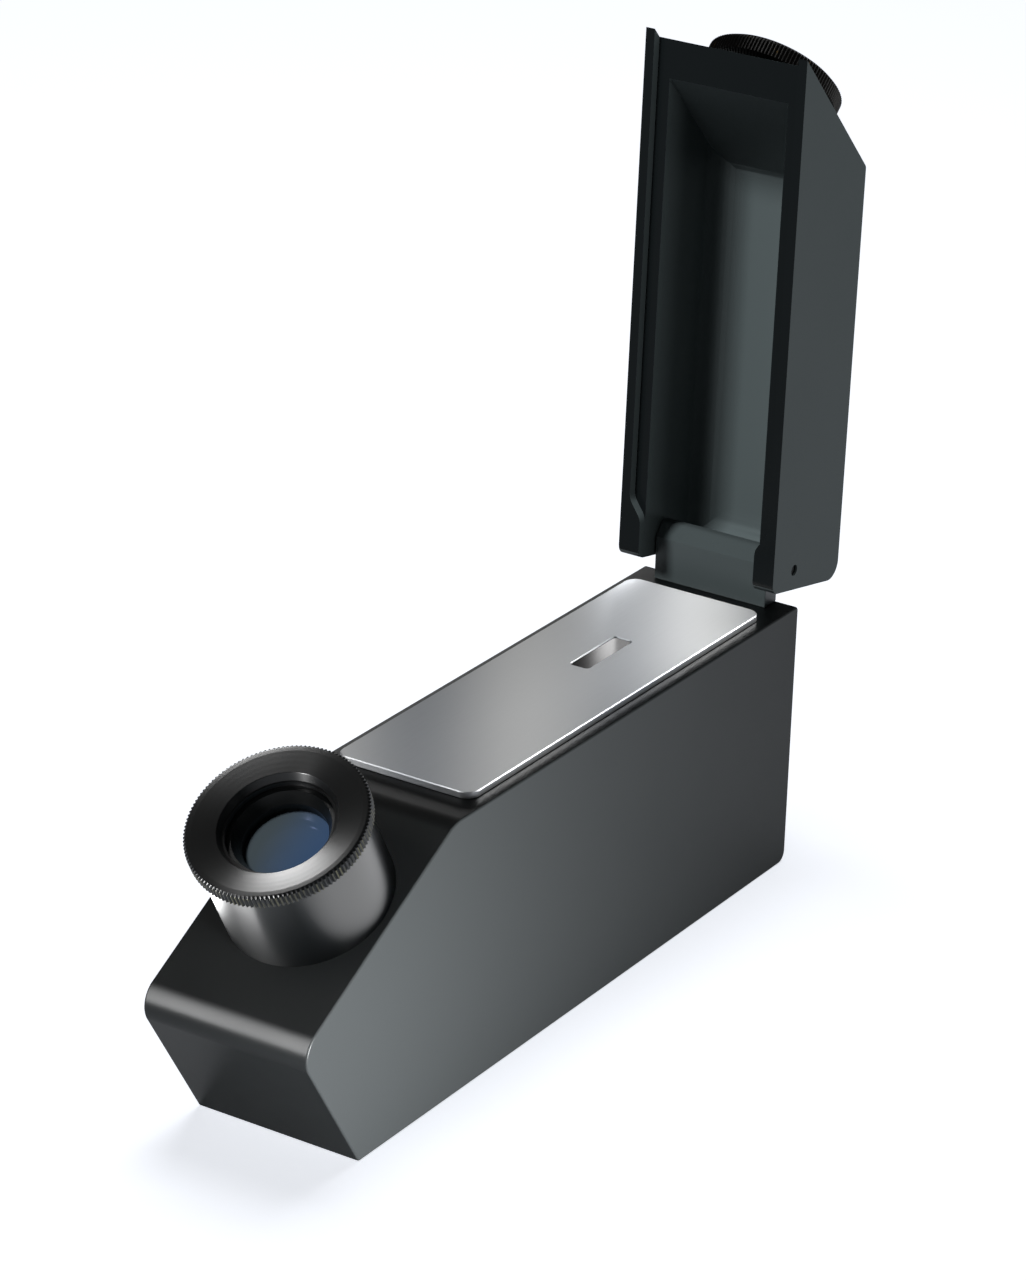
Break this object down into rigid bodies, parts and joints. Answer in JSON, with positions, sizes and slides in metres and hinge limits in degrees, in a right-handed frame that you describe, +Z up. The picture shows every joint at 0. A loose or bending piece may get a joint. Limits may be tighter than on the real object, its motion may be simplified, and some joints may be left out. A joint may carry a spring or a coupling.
{
  "type": "gemstone refractometer",
  "caption": "Bench refractometer: black metal housing, slanted focusing eyepiece, steel stage with a glass prism, hinged lid with a knurled polarising filter.",
  "frame": {"origin": "centre of the housing's flat underside", "axes": "+Z up, +Y to the back where the lid's hinge is, +X to the right seen from the eyepiece"},
  "size_m": [0.033, 0.1758, 0.1581],
  "materials": {
    "black_anodised": "satin black anodised aluminium, milled",
    "inner_black": "matt black anodised aluminium",
    "hinge_grey": "dark grey bead-blasted aluminium",
    "focus_black": "glossy black anodised, turned and knurled",
    "lacquered_brass": "black lacquered brass, worn golden at the knurl",
    "stage_steel": "satin stainless steel with a bright bevel",
    "screw_steel": "turned stainless steel",
    "blackened_steel": "blackened steel",
    "prism_glass": "polished dense flint glass",
    "lens_glass": "polished glass with a blue antireflection coating",
    "filter_glass": "grey polarising glass",
    "amber_glass": "yellow light filter glass",
    "mirror_silver": "front-silvered mirror"
  },
  "bodies": {
    "root": {"housing": "black_anodised", "base_plate": "black_anodised", "base_screws": "blackened_steel", "stage_plate": "stage_steel", "prism": "prism_glass", "prism_carrier": "inner_black", "carrier_screws": "screw_steel", "hinge_block": "hinge_grey", "block_screws": "screw_steel", "hinge_pin": "blackened_steel", "eyepiece_barrel": "black_anodised", "barrel_nut": "inner_black", "scale_holder": "inner_black", "scale_glass": "lens_glass", "fold_mirror": "mirror_silver", "mirror_bracket": "inner_black", "mirror_screws": "blackened_steel", "objective_holder": "inner_black", "objective_tube": "inner_black", "objective_lenses": "lens_glass", "light_bezel": "black_anodised", "light_glass": "amber_glass"},
    "lid": {"lid": "black_anodised", "parking_boss": "inner_black"},
    "filter": {"filter_sleeve": "lacquered_brass"},
    "filter_knurl": {"filter_ring": "lacquered_brass", "filter_glass": "filter_glass"},
    "focus": {"focus_tube": "inner_black", "eye_lens": "lens_glass", "lens_ring": "inner_black", "field_lens": "lens_glass"},
    "focus_knurl": {"focus_ring": "focus_black"}
  },
  "joints": [
    {"name": "lid_hinge", "type": "hinge", "parent": "root", "child": "lid", "pos_m": [0, 0.068, 0.06], "axis": [1, 0, 0], "range_deg": [0, 91.3]},
    {"name": "filter_pull", "type": "slide", "parent": "lid", "child": "filter", "axis": [0, 0.729, 0.6845], "range_m": [0, 0.006]},
    {"name": "filter_turn", "type": "hinge", "parent": "filter", "child": "filter_knurl", "pos_m": [0, 0.07616, 0.14363], "axis": [0, 0.729, 0.6845], "continuous": true},
    {"name": "focus_slide", "type": "slide", "parent": "root", "child": "focus", "axis": [0, -0.4898, 0.8718], "range_m": [0, 0.0025]},
    {"name": "focus_turn", "type": "hinge", "parent": "focus", "child": "focus_knurl", "pos_m": [0, -0.06228, 0.04145], "axis": [0, -0.4898, 0.8718], "range_deg": [0, 180]}
  ],
  "couplings": [
    {"joint": "focus_turn", "follows": "focus_slide", "rad_per_m": 1256.6}
  ]
}
